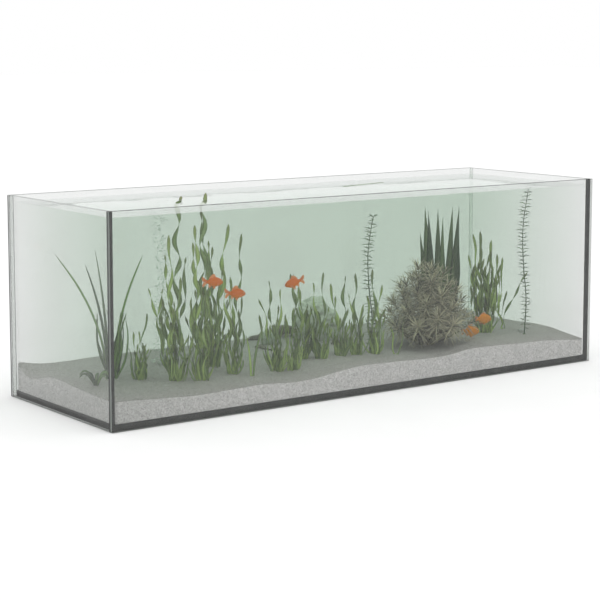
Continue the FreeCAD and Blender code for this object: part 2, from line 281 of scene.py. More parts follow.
def water_finish():
    """Faintly green water: it takes up light inside, and its top mirrors at a low angle."""
    f = Finish("water")
    where = f.place()
    clear = f.clear((1, 1, 1, 1))
    ripples = f.relief(f.grain(where, 14.0, 2.0), 0.05, 0.01)
    shine = f.glossy((0.90, 0.92, 0.91, 1), 0.06, Normal=ripples)
    normal = f.normal_parts()[2]
    is_top = f.sums("GREATER_THAN", normal, 0.5)
    share = f.times(is_top, f.mirror_share(0.02))
    inside = f.add("VolumeAbsorption", {"Color": (*WATER_COLOUR, 1), "Density": WATER_DENSITY})
    f.tree.links.new(inside.outputs[0], f.out.inputs["Volume"])
    return f.surfaced(f.either(share, clear, shine))


# Painted shade for the sand's top, multiplied into the faces that look up
PAINTED_TOP_SHADE = (0.66, 0.635, 0.63)
# Colour factors from the left end of the tank inwards: the sand is darker towards the left end
LEFT_END_DARKENING = [(0.0, (0.86, 0.87, 0.86)), (0.1, (0.90, 0.91, 0.90)), (0.3, (1, 1, 1))]


def sand_finish():
    """Pale fine gravel: light and dark grains over a mottled bed, with painted shade on its top, and darker
    towards the left end.
    """
    f = Finish("sand")
    where = f.place()
    grains = f.cells(where, 400.0)
    fine = f.grain(where, 700.0, 2.0)
    tone = f.plus(f.times(f.parts(grains["Color"])[0], 0.6), f.times(fine, 0.4))
    colour = f.ramp(tone, [(0.12, (0.38, 0.37, 0.36)), (0.42, (0.57, 0.56, 0.55)),
                           (0.72, (0.70, 0.69, 0.68)), (0.92, (0.90, 0.89, 0.88))])
    patches = f.ramp(f.grain(where, 30.0, 4.0), [(0.35, (0.95, 0.95, 0.95)), (0.65, (1, 1, 1))])
    colour = f.shaded(colour, patches)
    up = f.normal_parts()[2]
    # Painted shade: faces that look up are darkened.
    top_shade = f.ramp(up, [(0.45, (1, 1, 1)), (0.8, PAINTED_TOP_SHADE)])
    colour = f.shaded(colour, top_shade)
    # Darker towards the left end.
    from_left = f.plus(f.parts(where)[0], 0.745)
    colour = f.shaded(colour, f.ramp(from_left, LEFT_END_DARKENING))
    bumps = f.sums("SUBTRACT", 1.0, grains["Distance"])
    return f.surfaced(f.principled(colour, 0.85, f.relief(bumps, 0.5, 0.002)))


def leaf_finish(name, dark, light, tip, spread, base_shade):
    """Leaf with lengthwise veins, blotches and a browning tip. UV runs across and along the leaf,
    and each leaf has its own whole number in V, which sets its own tone."""
    f = Finish(name)
    uv = f.parts(f.blade_uv())
    across, along = uv[0], uv[1]
    number = f.sums("FLOOR", along)
    tone = f.add("TexWhiteNoise", {"W": number}, noise_dimensions="1D").outputs["Value"]
    where = f.place()
    blotch = f.grain(where, 55.0, 4.0)
    factor = f.plus(f.times(tone, spread), f.times(blotch, 1 - spread))
    # Painted shade towards each leaf's foot; where base_shade is below zero the foot is lighter instead.
    factor = f.plus(factor, f.times(base_shade, f.sums("FRACT", along)))
    colour = f.ramp(factor, [(0.2, dark), (0.5, tuple((a + b) / 2 for a, b in zip(dark, light))),
                             (0.8, light)])
    veins = f.sums("ABSOLUTE", f.sums("SINE", f.times(across, 9 * pi)))
    shade = f.ramp(veins, [(0.0, (0.82, 0.84, 0.80)), (0.45, (1, 1, 1))])
    colour = f.shaded(colour, shade)
    # Painted highlight along the midrib and painted shade towards both edges of the leaf.
    from_rib = f.sums("ABSOLUTE", f.sums("SUBTRACT", across, 0.5))
    rim = f.ramp(from_rib, [(0.0, (1.15, 1.15, 1.10)), (0.22, (1, 1, 1)), (0.46, (0.55, 0.60, 0.55))])
    colour = f.shaded(colour, rim)
    near_tip = f.sums("POWER", f.sums("FRACT", along), 9.0)
    worn = f.times(near_tip, f.times(blotch, 1.3))
    colour = f.blended(worn, colour, tip)
    normal = f.relief(f.plus(veins, f.grain(where, 260.0, 2.0)), 0.35, 0.0006)
    return f.surfaced(f.principled(colour, 0.48, normal))


def rock_finish(name, dark, light):
    f = Finish(name)
    where = f.place()
    layers = f.grain(where, 26.0, 8.0, 0.65)
    specks = f.grain(where, 260.0, 3.0, 0.6)
    tone = f.plus(f.times(layers, 0.65), f.times(specks, 0.35))
    colour = f.ramp(tone, [(0.35, dark), (0.52, light), (0.7, tuple(1.15 * c for c in light))])
    return f.surfaced(f.principled(colour, 0.8, f.relief(tone, 0.6, 0.003)))


def wood_finish():
    f = Finish("driftwood")
    where = f.place()
    bark = f.add("TexWave", {"Vector": where, "Scale": 60.0, "Distortion": 9.0, "Detail": 4.0,
                             "Detail Scale": 2.0}).outputs["Fac"]
    tone = f.plus(f.times(bark, 0.5), f.times(f.grain(where, 120.0, 5.0), 0.5))
    colour = f.ramp(tone, [(0.25, (0.10, 0.095, 0.08)), (0.75, (0.34, 0.32, 0.27))])
    return f.surfaced(f.principled(colour, 0.75, f.relief(tone, 0.8, 0.002)))


def stone_finish():
    """Sintered air stone: pale grey grit full of pores."""
    f = Finish("air_stone")
    where = f.place()
    pores = f.cells(where, 900.0)["Distance"]
    colour = f.ramp(pores, [(0.1, (0.32, 0.32, 0.31)), (0.5, (0.52, 0.52, 0.51))])
    return f.surfaced(f.principled(colour, 0.85, f.relief(pores, 0.8, 0.0008)))


def bubble_finish():
    """Air bubble: a bright middle that mirrors the room, and a darker ring of painted shade."""
    f = Finish("bubble")
    mist = f.grain(f.place(), 80.0, 1.0)
    facing = f.facing()
    # Painted shade: the see-through tint darkens towards the bubble's edge into a ring.
    tint = f.ramp(facing, [(0.35, (0.92, 0.95, 0.93)), (0.8, (0.34, 0.38, 0.35))])
    tint = f.blended(mist, tint, (0.80, 0.84, 0.81))
    clear = f.clear(tint)
    shine = f.glossy((1, 1, 1, 1), 0.12)
    share = f.sums("SUBTRACT", 0.75, f.times(facing, 0.7))
    return f.surfaced(f.either(share, clear, shine))


def fish_finish(name, belly, flank, back):
    """Goldfish skin: scales that are deeper on the back and paler on the belly."""
    f = Finish(name)
    where = f.blade_uv()
    uv = f.parts(where)
    patches = f.grain(where, 5.0, 3.0)
    colour = f.ramp(uv[0], [(0.0, belly), (0.35, flank), (1.0, back)])
    colour = f.blended(patches, colour, flank)
    scales = f.cells(where, 26.0)["Distance"]
    shade = f.ramp(scales, [(0.0, (1, 1, 1)), (0.7, (0.80, 0.72, 0.66))])
    colour = f.shaded(colour, shade)
    return f.surfaced(f.principled(colour, 0.5, f.relief(scales, 0.5, 0.0008), Specular_IOR_Level=0.12))


def fin_finish():
    """Fin: thin orange skin over fine rays, paler to its edge."""
    f = Finish("goldfish_fin")
    uv = f.parts(f.blade_uv())
    rays = f.sums("ABSOLUTE", f.sums("SINE", f.times(uv[0], 36.0)))
    colour = f.ramp(uv[1], [(0.0, (0.60, 0.115, 0.012)), (1.0, (0.70, 0.26, 0.07))])
    shade = f.ramp(rays, [(0.0, (0.72, 0.62, 0.55)), (0.5, (1, 1, 1))])
    colour = f.shaded(colour, shade)
    return f.surfaced(f.principled(colour, 0.4, f.relief(rays, 0.5, 0.0004)))


def eye_finish():
    f = Finish("goldfish_eye")
    uv = f.parts(f.blade_uv())
    colour = f.ramp(uv[1], [(0.0, (0.004, 0.004, 0.004)), (0.30, (0.006, 0.006, 0.006)),
                            (0.36, (0.85, 0.62, 0.22)), (0.7, (0.7, 0.25, 0.05))])
    return f.surfaced(f.principled(colour, 0.08))


def floor_finish():
    f = Finish("studio_floor")
    colour = f.ramp(f.grain(f.place(), 3.0, 2.0), [(0.3, (0.83, 0.83, 0.83)), (0.7, (0.85, 0.85, 0.85))])
    return f.surfaced(f.principled(colour, 0.9, Specular_IOR_Level=0.0))


GLASS_FRONT = glass("glass_front", 1, 0.02, 0.02, 0.5, (0.2390, 0.2430))
GLASS_BACK = glass("glass_back", 1, 0.04, 0.3, 0.9, (0.2430, 0.2510))
GLASS_ENDS = glass("glass_ends", 0, 0.04, 0.35, 0.98)
GLASS_FLOOR = glass("glass_floor", 2, 0.05, 0.05, 0.5)
SILICONE = silicone("silicone", (0.045, 0.047, 0.045), (0.075, 0.077, 0.074), 0.0)
BACK_SILICONE = {
    "seam_back_left": silicone("silicone_thin", (0.05, 0.06, 0.055), (0.09, 0.10, 0.095), 0.8),
    "seam_back_right": silicone("silicone_clear", (0.05, 0.06, 0.055), (0.09, 0.10, 0.095), 0.985),
}
WATER = water_finish()
SAND = sand_finish()
RIBBON = leaf_finish("ribbon_leaf", (0.175, 0.255, 0.092), (0.425, 0.560, 0.165), (0.13, 0.11, 0.04), 0.65,
                     -0.10)
GRASS = leaf_finish("grass_leaf", (0.030, 0.075, 0.022), (0.185, 0.320, 0.080), (0.08, 0.08, 0.03),
                    0.55, 0.0)
DARK_LEAF = leaf_finish("dark_leaf", (0.038, 0.072, 0.030), (0.120, 0.190, 0.070), (0.05, 0.06, 0.03), 0.6,
                        0.0)
SWORD_LEAF = leaf_finish("sword_leaf", (0.050, 0.088, 0.042), (0.140, 0.210, 0.085), (0.09, 0.09, 0.05),
                         0.6, 0.0)
BUSH_LEAF = leaf_finish("bush_leaf", (0.042, 0.042, 0.028), (0.54, 0.50, 0.35), (0.44, 0.37, 0.26), 0.80,
                        0.30)
ROCK = rock_finish("rock", (0.42, 0.44, 0.40), (0.66, 0.68, 0.61))
PALE_ROCK = rock_finish("pale_rock", (0.30, 0.34, 0.27), (0.48, 0.52, 0.44))
WOOD = wood_finish()
AIR_STONE = stone_finish()
BUBBLE = bubble_finish()
RED_SKIN = fish_finish("goldfish_red", (0.78, 0.34, 0.03), (0.76, 0.19, 0.004), (0.52, 0.10, 0.002))
GOLD_SKIN = fish_finish("goldfish_gold", (0.95, 0.55, 0.14), (0.90, 0.34, 0.02), (0.85, 0.30, 0.02))
FISH_FIN = fin_finish()
FISH_EYE = eye_finish()


# ---------------------------------------------------------------- meshes
SHARP = radians(50)


class Build:
    """Points, faces, a blade UV for each point and a material number for each face."""

    def __init__(self):
        self.points, self.uvs, self.faces, self.finish = [], [], [], []

    def ring(self, points, uvs):
        start = len(self.points)
        self.points += points
        self.uvs += uvs
        return range(start, start + len(points))

    def face(self, corners, finish=0):
        self.faces.append(tuple(corners))
        self.finish.append(finish)

    def join(self, a, b, finish=0):
        """Faces between two closed rings of the same count."""
        for i in range(len(a)):
            k = (i + 1) % len(a)
            self.face((a[i], a[k], b[k], b[i]), finish)

    def cap(self, ring, point, uv, outwards, finish=0):
        """Fan that closes a ring. outwards is True where the ring is the last one."""
        pole = self.ring([point], [uv])[0]
        for i in range(len(ring)):
            k = (i + 1) % len(ring)
            corners = (ring[i], ring[k], pole) if outwards else (ring[k], ring[i], pole)
            self.face(corners, finish)

    def shell(self, rings, first, last):
        """Skin over the rings, closed at a first and a last (point, uv)."""
        for a, b in zip(rings, rings[1:]):
            self.join(a, b)
        self.cap(rings[0], *first, False)
        self.cap(rings[-1], *last, True)

    def piece(self, name, finishes, slot=None, body="root", stands_for=()):
        mesh = bpy.data.meshes.new(name)
        mesh.from_pydata([tuple(p) for p in self.points], [], self.faces)
        layer = mesh.uv_layers.new(name="blade")
        for loop in mesh.loops:
            layer.data[loop.index].uv = self.uvs[loop.vertex_index]
        for finish in finishes:
            mesh.materials.append(finish)
        mesh.polygons.foreach_set("material_index", self.finish)
        mesh.polygons.foreach_set("use_smooth", [True] * len(mesh.polygons))
        mesh.set_sharp_from_angle(angle=SHARP)
        mesh.update()
        made = shown(name, mesh)
        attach(made, body)
        if stands_for:
            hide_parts(*stands_for)
        return made


def between(a, b, t):
    return a + (b - a) * t


def circle(count):
    """Angles all the way round."""
    return [2 * pi * k / count for k in range(count)]


def level(a, z=0):
    """Level direction at an angle, raised by z."""
    return Vector((cos(a), sin(a), z))


def length_of(path):
    return sum((b - a).length for a, b in zip(path, path[1:]))


def spline(points, count):
    """Points spaced evenly along a smooth curve through the given ones."""
    ends = [2 * points[0] - points[1]] + points + [2 * points[-1] - points[-2]]
    fine = []
    for p in zip(ends, ends[1:], ends[2:], ends[3:]):
        k = [0.0]
        for a, b in zip(p, p[1:]):
            k.append(k[-1] + max((b - a).length, 1e-6) ** 0.5)
        for step in range(10):
            t = between(k[1], k[2], step / 10)
            one = [between(p[i], p[i + 1], (t - k[i]) / (k[i + 1] - k[i])) for i in range(3)]
            two = [between(one[i], one[i + 1], (t - k[i]) / (k[i + 2] - k[i])) for i in range(2)]
            fine.append(between(two[0], two[1], (t - k[1]) / (k[2] - k[1])))
    fine.append(points[-1])
    run = [0.0]
    for a, b in zip(fine, fine[1:]):
        run.append(run[-1] + (b - a).length)
    made, i = [], 0
    for step in range(count):
        want = run[-1] * step / (count - 1)
        while i < len(run) - 2 and run[i + 1] < want:
            i += 1
        made.append(between(fine[i], fine[i + 1], (want - run[i]) / (run[i + 1] - run[i])))
    return made


def directions(path):
    ahead = [(b - a).normalized() for a, b in zip(path, path[1:])]
    return [ahead[0]] + [(a + b).normalized() for a, b in zip(ahead, ahead[1:])] + [ahead[-1]]


def frames(path, start):
    """(direction, side, normal) at each point of a path. The normal starts as near start as can be
    and turns with the path without spinning."""
    made, normal = [], Vector(start)
    for ahead in directions(path):
        normal = (normal - ahead * normal.dot(ahead)).normalized()
        made.append((ahead, normal.cross(ahead), normal))
    return made


BLADE_SECTION = [(-1, 0), (-0.5, 0.8), (0, 0.45), (0.5, 0.8), (1, 0), (0.5, -0.8), (0, -1.3),
                 (-0.5, -0.8)]
NEEDLE_SECTION = [(-1, 0), (0, 1), (1, 0), (0, -1)]


def blade(build, path, half_widths, twists, thick, number, facing=AWAY, section=BLADE_SECTION):
    """Closed leaf along a path: half width and twist at each point, UV across and along it."""
    rings = []
    for i, (ahead, side, normal) in enumerate(frames(path, facing)):
        t = i / (len(path) - 1)
        turn = Matrix.Rotation(twists[i], 3, ahead)
        side, normal = turn @ side, turn @ normal
        points = [path[i] + side * (a * half_widths[i]) + normal * (h * thick * 0.5) for a, h in section]
        rings.append(build.ring(points, [((a + 1) / 2, number + 0.98 * t) for a, h in section]))
    ahead = directions(path)
    tip = path[-1] + ahead[-1] * half_widths[-1] * 0.8
    build.shell(rings, (path[0] - ahead[0] * 0.0004, (0.5, number)), (tip, (0.5, number + 0.99)))


def tube(build, path, radii, sides, facing=AWAY, number=0):
    rings = []
    for i, (ahead, side, normal) in enumerate(frames(path, facing)):
        points = [path[i] + (side * cos(a) + normal * sin(a)) * radii[i] for a in circle(sides)]
        uvs = [(k / sides, number + 0.98 * i / len(path)) for k in range(sides)]
        rings.append(build.ring(points, uvs))
    ahead = directions(path)
    build.shell(rings, (path[0] - ahead[0] * radii[0] * 0.3, (0.5, number)),
                (path[-1] + ahead[-1] * radii[-1] * 0.6, (0.5, number)))


def needle(build, start, end, droop, width, thick, number, facing):
    """Short pointed leaf from start to end, its middle raised by droop."""
    middle = (start + end) / 2 + UP * droop
    path = spline([start, middle, end], 5)
    widths = [width * s for s in (0.25, 0.48, 0.5, 0.34, 0.10)]
    blade(build, path, widths, [0.0] * 5, thick, number, facing, NEEDLE_SECTION)


# ---------------------------------------------------------------- the tank
def coat(node, finish):
    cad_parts[node].data.materials.clear()
    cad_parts[node].data.materials.append(finish)


for node, finish in (("front_pane", GLASS_FRONT), ("back_pane", GLASS_BACK), ("left_pane", GLASS_ENDS),
                     ("right_pane", GLASS_ENDS), ("bottom_pane", GLASS_FLOOR)):
    coat(node, finish)
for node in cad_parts:
    if node.startswith("seam_"):
        coat(node, BACK_SILICONE.get(node, SILICONE))

SAND_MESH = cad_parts["substrate"].data
SAND_TREE = BVHTree.FromPolygons([v.co for v in SAND_MESH.vertices],
                                 [tuple(p.vertices) for p in SAND_MESH.polygons])
SAND_LOW, SAND_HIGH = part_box("substrate")
HALF_X, HALF_Y = SAND_HIGH.x, SAND_HIGH.y          # inner faces of the panes


def ground(x, y):
    """Height of the sand."""
    for inset in (0.0, 0.002, 0.006, 0.012):
        px = max(inset - HALF_X, min(HALF_X - inset, x))
        py = max(inset - HALF_Y, min(HALF_Y - inset, y))
        hit = SAND_TREE.ray_cast(Vector((px * 0.9999, py * 0.9999, 1)), -UP)[0]
        if hit and hit.z > SAND_LOW.z + 0.01:
            return hit.z
    return SAND_LOW.z


CORNER_CUT = 0.010       # the sand stops short of the silicone in the corners
SAND_GAP = 0.0005
SAND_CELL = 0.005
SAND_FLOOR = SAND_LOW.z + 0.0045


def cut_corner(x, y):
    """(x, y) drawn in where a corner of the bed is cut off."""
    over = abs(x) - (HALF_X - CORNER_CUT) + abs(y) - (HALF_Y - CORNER_CUT) - CORNER_CUT
    if over > 0 and abs(x) > HALF_X - CORNER_CUT and abs(y) > HALF_Y - CORNER_CUT:
        x -= copysign(over / 2, x)
        y -= copysign(over / 2, y)
    return x, y


def bed(build, cell, inset, top, bottom):
    """Closed block over the tank's floor plan. top and bottom give its heights at a point."""
    nx, ny = round(2 * HALF_X / cell), round(2 * HALF_Y / cell)
    xs = [(HALF_X - inset) * (2 * i / nx - 1) for i in range(nx + 1)]
    ys = [(HALF_Y - inset) * (2 * j / ny - 1) for j in range(ny + 1)]
    plan = [[cut_corner(x, y) for y in ys] for x in xs]
    upper = [build.ring([Vector((x, y, top(x, y))) for x, y in row],
                        [(x, y) for x, y in row]) for row in plan]
    for i in range(nx):
        for j in range(ny):
            build.face((upper[i][j], upper[i + 1][j], upper[i + 1][j + 1], upper[i][j + 1]))
    edge = ([(i, 0) for i in range(nx)] + [(nx, j) for j in range(ny)] +
            [(i, ny) for i in range(nx, 0, -1)] + [(0, j) for j in range(ny, 0, -1)])
    around = [upper[i][j] for i, j in edge]
    feet = build.ring([Vector((*plan[i][j], bottom)) for i, j in edge], [plan[i][j] for i, j in edge])
    for k in range(len(edge)):
        n = (k + 1) % len(edge)
        build.face((around[n], around[k], feet[k], feet[n]))
    build.face(reversed(list(feet)))


def sand_top(x, y):
    z = ground(x, y)
    rolls = noise.noise(Vector((x, y, 0)) * 22) * 0.0022
    grains = noise.noise(Vector((x, y, 1)) * 150) * 0.0007
    near_wall = min(HALF_X - abs(x), HALF_Y - abs(y))
    return z + (rolls + grains) * min(1.0, 0.35 + near_wall / 0.03)


sand = Build()
bed(sand, SAND_CELL, SAND_GAP, sand_top, SAND_FLOOR)
sand.piece("sand_bed", [SAND], "sand", stands_for=["substrate"])

WATER_LEVEL = 0.484
WATER_CELL = 0.02
WATER_GAP = 0.0003
WATER_FLOOR = SAND_LOW.z + 0.005


def water_top(x, y):
    return WATER_LEVEL + noise.noise(Vector((x, y, 4)) * 12) * 0.0004


water = Build()
bed(water, WATER_CELL, WATER_GAP, water_top, WATER_FLOOR)
water.piece("water", [WATER])

# ---------------------------------------------------------------- plants
MM = 0.001
GRASSY = ("grass_plant", "sprout_plant", "ribbon_seedling")
DARK_GRASS = ("grass_plant", "sprout_plant")
SWORDS = ("sword_plant",)
RIBBON_TURN = 70.0          # a ribbon leaf turns over about this often, in millimetres
SWAY = 0.0070               # a tall ribbon leaf sways this far to each side of its line
SAME_PLACE = 1e-5           # corners nearer than this are one corner
CROWN_HIGH = 0.02           # the one solid of a plant that is lower than this is its crown
LEAF_STEPS = (0, 0.25, 0.5, 0.75, 1)
FULL_RISE = 0.40            # a leaf that rises this far is as wide as its kind gets
WIDTHS = {"ribbon": (4, 12), "grass": (4, 6), "sword": (12, 27)}      # narrowest and widest leaf
FILLERS = {"ribbon": 27, "grass": 14}       # short leaves between the long ones
DENSE = {"ribbon_plant_far_right": 22}      # and this many more of them, taller, where it's thick
# The tallest leaf of each of these goes on along the surface and its tip stands this far out of it
TRAILS = {"ribbon_plant_tall_left": 0.006, "ribbon_plant_tall_right": 0.013}
TRAIL_LONG = 0.130
TRAIL_UNDER = 0.004
ROOT_DEPTH = 0.004
CROWN_DEPTH = 0.006
SHORT_SWAY = {"ribbon": 0.0045, "grass": 0.001, "sword": 0.001}
LEAF_THICK = 0.0009
SWORD_THICK = 0.0014
SPROUTING = 10
GOLDEN_ANGLE = radians(137.5)


def foot_of(node):
    """Middle of a plant's crown, on the sand."""
    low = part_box(node)[0].z
    ring = [v.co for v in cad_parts[node].data.vertices if v.co.z < low + 0.001]
    x = (min(p.x for p in ring) + max(p.x for p in ring)) / 2
    y = (min(p.y for p in ring) + max(p.y for p in ring)) / 2
    return Vector((x, y, 0))


def crown_piece(build, foot, radius, number, chance):
    """Knotted foot of a plant where its leaves leave the sand."""
    base = foot + UP * (ground(foot.x, foot.y) - CROWN_DEPTH)
    path = [base + UP * h for h in (0.0, 0.004, 0.007, 0.009)]
    tube(build, path, [radius * s * chance.uniform(0.92, 1.05) for s in (0.95, 0.85, 0.6, 0.3)], 14,
         number=number)


def half_width(width, t, shape):
    """Half the width at t along a leaf of a ribbon, a blade of grass or a broad sword leaf."""
    if shape == "grass":
        return 0.62 * width * (0.75 + 0.25 * min(1, 4 * t)) * (1 - t ** 6) ** 0.8
    if shape == "sword":
        return 0.58 * width * (0.3 + 0.7 * sin(pi * min(1, t / 0.5) / 2)) \
            * max(0.04, 1 - max(0, (t - 0.42) / 0.58) ** 1.1)
    base = 0.38 + 0.62 * min(1.0, t / 0.25)
    round_tip = sqrt(max(0.0, 1 - max(0.0, (t - 0.90) / 0.10) ** 2))
    return 0.5 * width * base * (0.2 + 0.8 * round_tip)


def twist_at(pinches, t, start, drift, flat_end):
    """Turn of the blade at t: it shows its edge at every pinch and its face halfway between. With
    flat_end it lies flat soon after the last one."""
    marks = [(0.0, start)]
    marks += [(p, pi * (k + 0.5)) for k, p in enumerate(pinches)]
    if flat_end:
        marks.append((marks[-1][0] + 0.06, marks[-1][1] + pi / 2))
        drift, pinches = 0.0, ()
    marks.append((1.0, marks[-1][1] + (pi / 2.4 if pinches else drift)))
    for (t0, a0), (t1, a1) in zip(marks, marks[1:]):
        if t <= t1 and t1 > t0:
            return a0 + (a1 - a0) * (t - t0) / (t1 - t0)
    return marks[-1][1]


def turns_of(length, chance, shape):
    """Where a leaf turns over and shows its edge: only ribbons do, at uneven steps."""
    marks, step = [], RIBBON_TURN * MM / length
    at = step * chance.uniform(0.6, 1.4)
    while shape == "ribbon" and at < 0.96:
        marks.append(at)
        at += step * chance.uniform(0.6, 1.4)
    return marks


def swaying(path, reach, chance):
    """The path with a slow sway of its own, which dies away at its foot and its tip."""
    phase, pace = chance.uniform(0, 6.3), 2 * pi / chance.uniform(0.09, 0.15)
    made, run = [path[0]], 0.0
    for i in range(1, len(path)):
        run += (path[i] - path[i - 1]).length
        t = i / (len(path) - 1)
        sway = reach * sin(pace * run + phase) * min(1, 6 * t) * min(1, 2.5 * (1 - t))
        made.append(path[i] + ACROSS * sway + AWAY * (0.6 * sway))
    return made


def add_leaf(build, points, width, shape, number, chance, sway=0.0, flat_end=False):
    """One leaf along its points, with its own turns and waviness."""
    length = length_of(points)
    marks = turns_of(length, chance, shape)
    count = max(10, min(60, round(length / 0.008)))
    start = 0.0 if shape == "sword" else chance.uniform(-0.5, 0.5)
    drift = chance.uniform(-0.8, 0.8) * (0.3 if shape == "sword" else 1)
    wave = chance.uniform(0, 6)
    halves, twists = [], []
    for i in range(count):
        t = i / (count - 1)
        half = half_width(width * MM, t, shape) * (1 + 0.07 * sin(9 * t + wave))
        halves.append(half)
        twists.append(twist_at(marks, t, start, drift, flat_end))
    thick = SWORD_THICK if shape == "sword" else LEAF_THICK
    blade(build, swaying(spline(points, count), sway, chance), halves, twists, thick, number)


def shape_of(node):
    return "grass" if node in GRASSY else "sword" if node in SWORDS else "ribbon"


def leaf_ends(node):
    """Foot and tip of each leaf that the frame's plant has, tallest first."""
    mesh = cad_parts[node].data
    keys = [tuple(round(c / SAME_PLACE) for c in v.co) for v in mesh.vertices]
    leader = {key: key for key in keys}

    def lead(key):
        while leader[key] != key:
            leader[key] = leader[leader[key]]
            key = leader[key]
        return key

    for edge in mesh.edges:
        first, second = (lead(keys[i]) for i in edge.vertices)
        leader[first] = second
    solids = {}
    for key, corner in zip(keys, mesh.vertices):
        solids.setdefault(lead(key), []).append(corner.co.copy())
    ends = []
    for points in solids.values():
        low, high = min(p.z for p in points), max(p.z for p in points)
        if high - low > CROWN_HIGH:
            feet = [p for p in points if p.z < low + MM]
            tips = [p for p in points if p.z > high - MM]
            ends.append((sum(feet, Vector()) / len(feet), sum(tips, Vector()) / len(tips)))
    return sorted(ends, key=lambda pair: (-pair[1].z, pair[0].x, pair[0].y))


def leaf_line(start, tip):
    """From foot to tip, upright at first and bending outwards, as the frame's leaves do."""
    rise, out = tip.z - start.z, Vector((tip.x - start.x, tip.y - start.y, 0))
    return [start + UP * (rise * t) + out * t * t for t in LEAF_STEPS]


def leaf_width(shape, rise, chance):
    narrow, wide = WIDTHS[shape]
    return (narrow + (wide - narrow) * min(1, rise / FULL_RISE)) * chance.uniform(0.8, 1.05)


def rooted(at):
    """The place in the sand from which a leaf at this place rises."""
    return Vector((at.x, at.y, ground(at.x, at.y) - ROOT_DEPTH))


def leafy(node, finish, slot):
    """One piece for a plant: its crown, a leaf for each of the frame's and short ones between."""
    chance = random.Random(node)
    build, foot, ends, shape = Build(), foot_of(node), leaf_ends(node), shape_of(node)
    reach = max((start - foot).to_2d().length for start, tip in ends)
    crown_piece(build, foot, max(0.004, reach * 0.6), 0, chance)
    for n, (start, tip) in enumerate(ends):
        points = leaf_line(rooted(start), tip)
        trails = n == 0 and node in TRAILS
        if trails:
            end = Vector((tip.x, tip.y, WATER_LEVEL))
            points += [end + AWAY * (TRAIL_LONG * t) - UP * TRAIL_UNDER for t in (0.2, 0.5, 0.8)]
            points.append(end + AWAY * TRAIL_LONG + UP * TRAILS[node])
        add_leaf(build, points, leaf_width(shape, tip.z - start.z, chance), shape, n + 1, chance,
                 SWAY if shape == "ribbon" else 0.0, trails)
    more = DENSE.get(node, 0)
    middle_rise = ends[len(ends) // 2][1].z
    for n in range(FILLERS.get(shape, 0) + more if len(ends) > 2 else 0):
        side, away = chance.uniform(-1, 1), chance.uniform(-1, 1)
        at = rooted(foot + ACROSS * (side * (reach + 0.004)) + AWAY * (away * (reach + 0.004)))
        share = chance.uniform(0.55, 0.95) if n < more else chance.uniform(0.15, 0.80)
        rise = (middle_rise - at.z) * share
        wild = 0.12 if share > 0.5 else 0.34
        lean = ACROSS * (side * 0.14 + chance.uniform(-wild, wild)) + AWAY * chance.uniform(-0.15, 0.15)
        bow = ACROSS * chance.uniform(-0.12, 0.12)
        points = [at + UP * (rise * t) + lean * (rise * t) + bow * (rise * sin(3 * t))
                  for t in (0, 0.33, 0.67, 1)]
        add_leaf(build, points, leaf_width(shape, rise, chance), shape, 60 + n, chance,
                 SHORT_SWAY[shape])
    for n in range(SPROUTING if node == "sprout_plant" else 0):
        a = GOLDEN_ANGLE * n
        out = level(a) * chance.uniform(0.030, 0.048)
        up, at = chance.uniform(0.026, 0.040), rooted(foot)
        points = [at + out * t + UP * (up * sin(2.4 * t)) for t in LEAF_STEPS]
        add_leaf(build, points, 5, shape, 60 + n, chance)
    build.piece(node + "_leaves", [finish], slot, stands_for=[node])


for node in sorted(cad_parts):
    if node in SWORDS:
        leafy(node, SWORD_LEAF, "dark_leaf")
    elif node in GRASSY or node.startswith("ribbon_plant"):
        leafy(node, GRASS if node in DARK_GRASS else RIBBON, "ribbon_leaf")

WHORL_PITCH = 0.0102
WHORL_LEAVES = 6
WHORL_REACH = 0.0182
STEM_BEND = 0.009
STEM_PHASE = 0.4


def whorled(node):
    """Wiry stem with whorls of fine needles along its whole height."""
    chance = random.Random(node)
    build, foot = Build(), foot_of(node)
    base = rooted(foot)
    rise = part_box(node)[1].z - base.z
    points = []
    for t in LEAF_STEPS:
        bend = STEM_BEND * sin(2 * pi * (t - STEM_PHASE)) * min(1, 2 * t)
        points.append(base + UP * (rise * t) - ACROSS * bend)
    crown_piece(build, points[0] - UP * points[0].z, 0.006, 0, chance)
    run = length_of(points)
    path = spline(points, 60)
    tube(build, path, [0.0016 - 0.0007 * i / 59 for i in range(60)], 8, number=1)
    whorls = round(run / WHORL_PITCH)
    nodes = spline(points, whorls)
    for k, at in enumerate(nodes[2:], 2):
        turn = chance.uniform(0, pi)
        size = WHORL_REACH * chance.uniform(0.75, 1.15) * (0.75 if k > whorls - 4 else 1)
        for around in circle(WHORL_LEAVES):
            if chance.random() < 0.2:
                continue
            a = turn + around + chance.uniform(-0.2, 0.2)
            out = level(a)
            end = at + out * size * chance.uniform(0.8, 1.15) + UP * chance.uniform(-0.004, 0.006)
            needle(build, at + out * 0.0008, end, 0.0015, 0.0016, 0.0006, 2 + k, UP.cross(out))
    build.piece(node + "_needles", [DARK_LEAF], "dark_leaf", stands_for=[node])


for node in ("whorled_stem_left", "whorled_stem_right"):
    whorled(node)

ROSETTES = 40               # their places follow a dome inside the box of the frame's bush
BUSH_DROP = 0.70            # the outermost rosettes are lower by this share of the bush's height
BUSH_JITTER = 0.014
ROSETTE_WHORLS = 7
ROSETTE_LEAVES = 8
ROSETTE_LONG = 0.046
BUSH_LEAF_LONG = 0.041
BUSH_LEAF_WIDE = 0.0029


